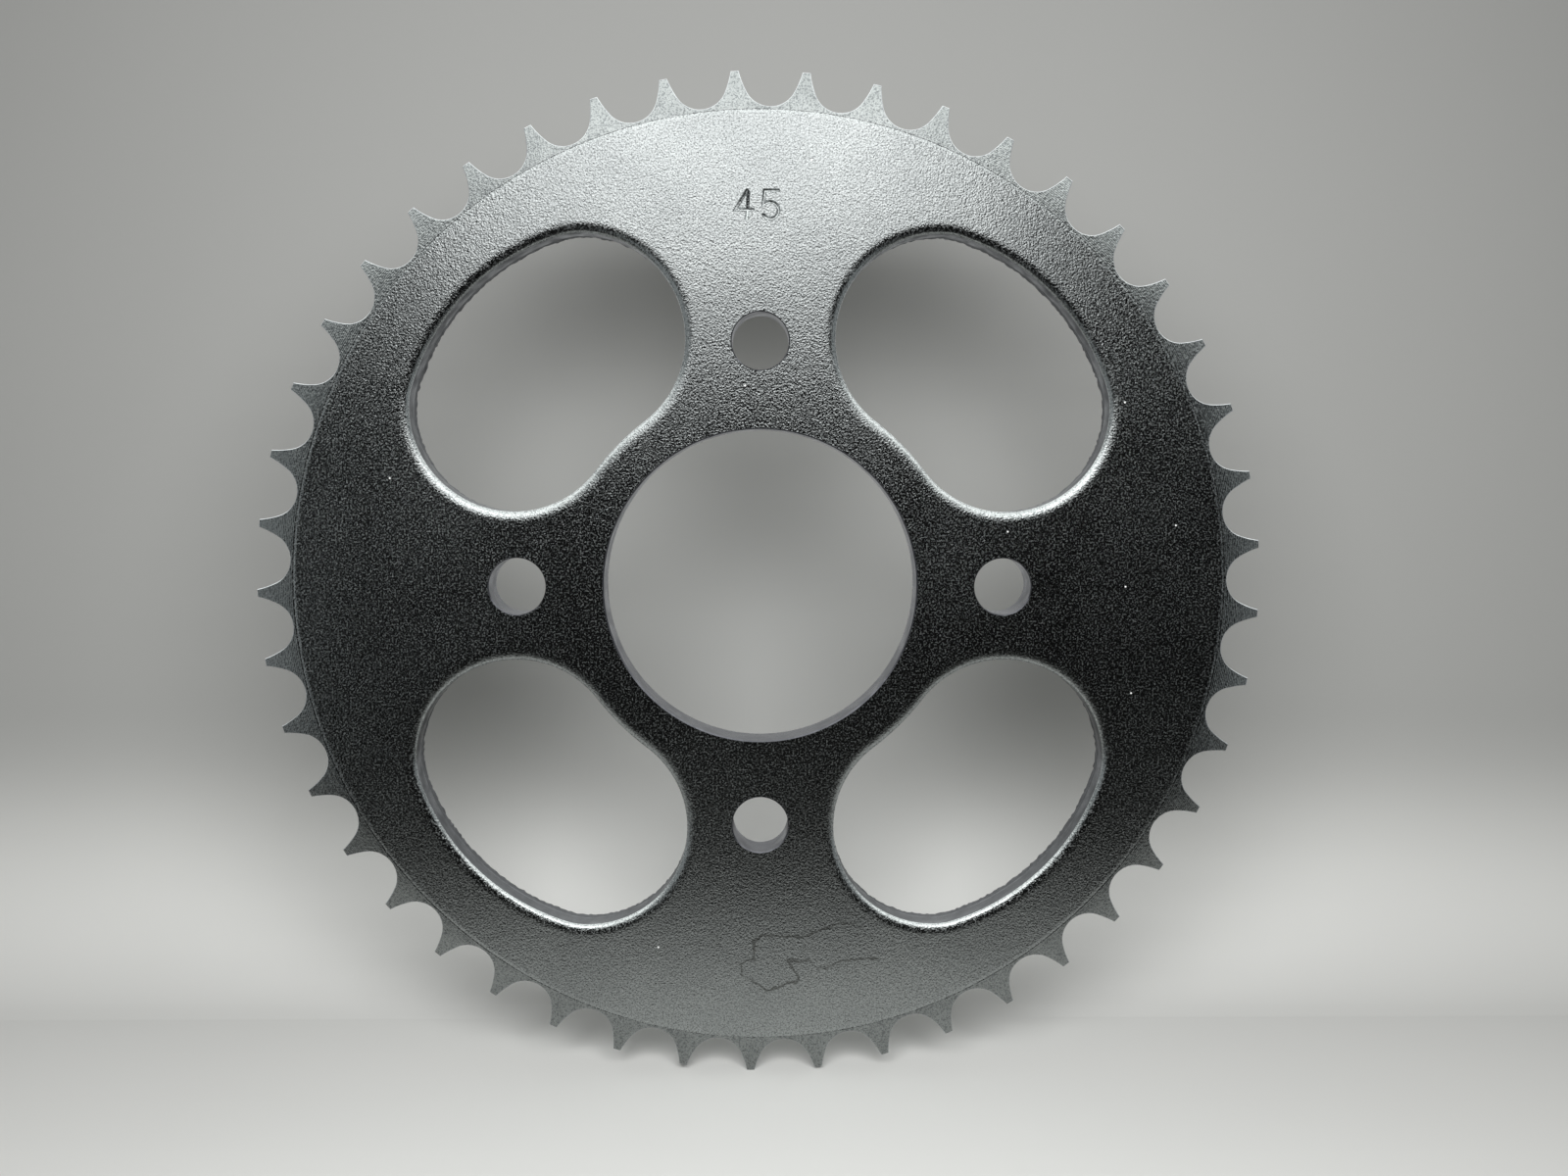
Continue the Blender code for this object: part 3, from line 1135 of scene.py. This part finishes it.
@dataclass(frozen=True)
class CameraView:
    """Camera a little above the bore's axis, looking slightly down at the front face."""

    stand_off: float = 246.8 * MM
    right: float = 1.5 * MM
    rise: float = 20.4 * MM
    pitch: float = math.radians(4.79)
    yaw: float = math.radians(0.664)
    roll: float = math.radians(-0.088)
    lens: float = 30.67
    sensor: float = 36.0

    def build(self) -> Object:
        """Make the camera and look through it."""
        data = bpy.data.cameras.new("studio_camera")
        data.lens = self.lens
        data.sensor_width = self.sensor
        data.clip_start = 0.01
        camera = linked_object("studio_camera", data)
        camera.location = (self.right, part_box(PLATE_NODE)[0].y - self.stand_off, self.rise)
        camera.rotation_euler = Euler((UP - self.pitch, self.roll, -self.yaw))
        bpy.context.scene.camera = camera
        return camera


@dataclass(frozen=True)
class SoftLight:
    """Rectangular soft light on the camera's side, never shown to the camera."""

    name: str
    centre: tuple[float, float, float]
    width: float
    height: float
    tilt: float
    power: float
    in_metal: bool

    def build(self) -> Object:
        """Make the light, which may or may not show in the metal."""
        data = bpy.data.lights.new(self.name, "AREA")
        data.shape = "RECTANGLE"
        data.size = self.width
        data.size_y = self.height
        data.energy = self.power
        light = linked_object(self.name, data)
        light.location = self.centre
        light.rotation_euler = Euler((UP - self.tilt, 0.0, 0.0))
        light.visible_camera = False
        light.visible_glossy = self.in_metal
        return light


PANEL = SoftLight("soft_panel", (-13.0 * MM, -212.0 * MM, 139.0 * MM),
                  196.0 * MM, 118.0 * MM, math.radians(15.0), 0.109, True)
FILL = SoftLight("soft_fill", (6.0 * MM, -240.0 * MM, 98.0 * MM),
                 250.0 * MM, 120.0 * MM, math.radians(30.0), 0.90, False)


@dataclass(frozen=True)
class RoomLight:
    """Soft light from above and behind, dim straight ahead where the camera stands."""

    ceiling: Colour = (1.6, 1.63, 1.61, 1.0)
    behind: Colour = (0.45, 0.46, 0.46, 1.0)
    sides: Colour = (0.27, 0.285, 0.29, 1.0)
    ahead: Colour = (0.004, 0.004, 0.004, 1.0)
    soft_above: Colour = (0.32, 0.32, 0.315, 1.0)
    soft_round: Colour = (0.22, 0.22, 0.215, 1.0)
    shown: Colour = (0.36, 0.363, 0.352, 1.0)
    heading: tuple[float, float, float] = (0.08, -0.995, -0.06)
    side_range: tuple[float, float] = (0.3, -0.2)
    ahead_range: tuple[float, float] = (0.71, 0.89)
    ceiling_range: tuple[float, float] = (0.30, 0.62)
    soft_range: tuple[float, float] = (0.30, 0.80)

    def build(self) -> bpy.types.World:
        """Make the world."""
        world = bpy.data.worlds.new("room_light")
        world.use_nodes = True
        graph = Graph(world.node_tree)
        shine = world.node_tree.nodes["Background"]
        toward = graph.add("TexCoord").outputs["Generated"]
        axes = graph.add("SeparateXYZ", {0: toward}).outputs
        facing = graph.vector("DOT_PRODUCT", toward, self.heading)
        low = graph.blend(graph.ramp(axes["Y"], *self.side_range), self.behind, self.sides)
        low = graph.blend(graph.ramp(facing, *self.ahead_range), low, self.ahead)
        mirrored = graph.blend(graph.ramp(axes["Z"], *self.ceiling_range), low, self.ceiling)
        soft = graph.blend(graph.ramp(axes["Z"], *self.soft_range), self.soft_round, self.soft_above)
        ray = graph.add("LightPath").outputs
        colour = graph.blend(ray["Is Glossy Ray"], soft, mirrored)
        colour = graph.blend(ray["Is Camera Ray"], colour, self.shown)
        graph.tree.links.new(colour, shine.inputs["Color"])
        bpy.context.scene.world = world
        return world


@dataclass(frozen=True)
class Backdrop:
    """Pale floor, with a sheet behind the plate that curves up and shows from its front only."""

    floor_radius: float = 260.0 * MM
    apron_radius: float = 1500.0 * MM
    turns: int = 96
    wall_distance: float = 66.0 * MM
    cove_radius: float = 44.0 * MM
    wall_height: float = 900.0 * MM
    half_width: float = 900.0 * MM
    cove_steps: int = 16
    colour: Colour = (0.71, 0.715, 0.695, 1.0)
    cloud_scale: float = 9.0
    cloud_shade: float = 0.98
    cloud_range: tuple[float, float] = (0.3, 0.7)
    # Painted shade: the upright sheet is painted darker than the floor, standing in for the weaker
    # light that falls on it.
    sheet_painted_shade: float = 0.47
    sheet_painted_shade_heights: tuple[float, float] = (6.0 * MM, 60.0 * MM)
    # Painted shade: the floor is painted darker toward the camera, evening out the pool of light from
    # the fill lamp.
    front_painted_shade: float = 0.55
    front_painted_shade_range: tuple[float, float] = (-60.0 * MM, -200.0 * MM)
    # Painted shade seen only in reflections: the floor mirrored in the metal darkens to near black
    # toward the camera.
    reflection_painted_shade: tuple[float, float] = (0.62, 0.03)
    reflection_painted_shade_range: tuple[float, float] = (-10.0 * MM, -135.0 * MM)

    def build(self) -> list[Object]:
        """Make the floor, its apron and the sheet as stage pieces."""
        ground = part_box(PLATE_NODE)[0].z
        floor = self.turned("studio_floor", 0.0, self.floor_radius, ground)
        apron = self.turned("studio_apron", self.floor_radius, self.apron_radius, ground)
        sheet = self.sheet("studio_sheet", ground)
        for thing in (apron, sheet):
            thing.visible_glossy = False
            thing.visible_diffuse = False
            thing.visible_shadow = False
        return [floor, apron, sheet]

    def turned(self, name: str, inner: float, outer: float, ground: float) -> Object:
        """Turn a flat ring or disc round the upright axis.

        Args:
            name: Name of the stage piece.
            inner: Its inner radius, or 0 for a full disc.
            outer: Its outer radius.
            ground: Height of the floor.

        Returns:
            The stage object.
        """
        mesh = bmesh.new()
        ends = [mesh.verts.new((radius, 0.0, ground)) for radius in (inner, outer)]
        bmesh.ops.spin(
            mesh, geom=ends + [mesh.edges.new(ends)], cent=ORIGIN,
            axis=(0.0, 0.0, 1.0), dvec=ORIGIN, angle=FULL_TURN, steps=self.turns,
            use_merge=True, use_duplicate=False,
        )
        bmesh.ops.remove_doubles(mesh, verts=mesh.verts, dist=0.01 * MM)
        return self.finished(name, mesh, Vector((0.0, 0.0, 1.0)))

    def sheet(self, name: str, ground: float) -> Object:
        """Extrude the backdrop sheet's profile sideways.

        Args:
            name: Name of the stage piece.
            ground: Height of the floor.

        Returns:
            The stage object.
        """
        lift = 0.2 * MM
        corner = Vector((self.wall_distance - self.cove_radius, ground + lift + self.cove_radius))
        profile = arc(corner, self.cove_radius, -UP, 0.0, self.cove_steps)
        profile.append(Vector((self.wall_distance, ground + self.wall_height)))
        mesh = bmesh.new()
        verts = [mesh.verts.new((-self.half_width, point.x, point.y)) for point in profile]
        edges = [mesh.edges.new(pair) for pair in zip(verts, verts[1:])]
        made = bmesh.ops.extrude_edge_only(mesh, edges=edges)["geom"]
        moved = [item for item in made if isinstance(item, BMVert)]
        bmesh.ops.translate(mesh, vec=(2.0 * self.half_width, 0.0, 0.0), verts=moved)
        return self.finished(name, mesh, Vector((0.0, -1.0, 1.0)))

    def finished(self, name: str, mesh: BMesh, facing: Vector) -> Object:
        """Link a stage mesh with its faces turned one way.

        Args:
            name: Name of the stage piece.
            mesh: Its mesh, which is freed.
            facing: Direction that its painted side looks toward.

        Returns:
            The stage object.
        """
        mesh.normal_update()
        away = [face for face in mesh.faces if face.normal.dot(facing) < 0.0]
        bmesh.ops.reverse_faces(mesh, faces=away)
        for face in mesh.faces:
            face.smooth = True
        thing = mesh_object(name, mesh)
        thing.data.materials.append(self.paint(name))
        return thing

    def paint(self, name: str) -> Material:
        """Matt paint that is clear from behind, with painted shade on the sheet, toward the camera and
        in reflections.
        """
        material = bpy.data.materials.new(name)
        material.use_nodes = True
        graph = Graph(material.node_tree)
        matt = material.node_tree.nodes["Principled BSDF"]
        matt.inputs["Roughness"].default_value = 0.9
        matt.inputs["Specular IOR Level"].default_value = 0.0
        place = graph.add("TexCoord").outputs["Object"]
        cloud = graph.ramp(graph.noise(place, self.cloud_scale, 3.0), *self.cloud_range)
        shade = tuple(self.cloud_shade * part for part in self.colour[:3]) + (1.0,)
        colour = graph.blend(cloud, self.colour, shade)
        axes = graph.add("SeparateXYZ", {0: place}).outputs
        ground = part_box(PLATE_NODE)[0].z
        # Painted shade: the paint darkens as the sheet rises from the floor.
        low, high = self.sheet_painted_shade_heights
        shaded = graph.ramp(axes["Z"], ground + low, ground + high, (0.0, self.sheet_painted_shade))
        colour = graph.blend(shaded, colour, BLACK)
        # Painted shade: the floor darkens toward the camera.
        near = graph.ramp(axes["Y"], *self.front_painted_shade_range, (0.0, self.front_painted_shade))
        colour = graph.blend(near, colour, BLACK)
        # Painted shade for reflections only: the floor darkens in the metal toward the camera.
        dim = graph.ramp(axes["Y"], *self.reflection_painted_shade_range, self.reflection_painted_shade)
        mirrored = graph.add("LightPath").outputs["Is Glossy Ray"]
        reflection_shade_factor = graph.plus(1.0, mirrored, graph.math("SUBTRACT", dim, 1.0))
        colour = graph.blend(reflection_shade_factor, BLACK, colour)
        graph.tree.links.new(colour, matt.inputs["Base Color"])
        clear = graph.add("BsdfTransparent")
        behind = graph.add("NewGeometry").outputs["Backfacing"]
        mixed = graph.add("MixShader", {0: behind, 1: matt.outputs[0], 2: clear.outputs[0]})
        output = material.node_tree.nodes["Material Output"]
        graph.tree.links.new(mixed.outputs[0], output.inputs["Surface"])
        return material


def main() -> None:
    """Build the sprocket and its studio."""
    logging.basicConfig(level=logging.INFO, format="%(name)s: %(message)s")
    camera = CameraView().build()
    log.info("camera: %s", camera.name)
    plate = SprocketPlate().build()
    log.info("piece: %s, %d faces", plate.name, len(plate.data.polygons))
    for thing in Backdrop().build():
        log.info("stage: %s", thing.name)
    for light in (PANEL, FILL):
        log.info("light: %s", light.build().name)
    log.info("light: %s", RoomLight().build().name)
    bpy.context.scene.view_settings.view_transform = "Standard"


if __name__ == "__main__":
    main()
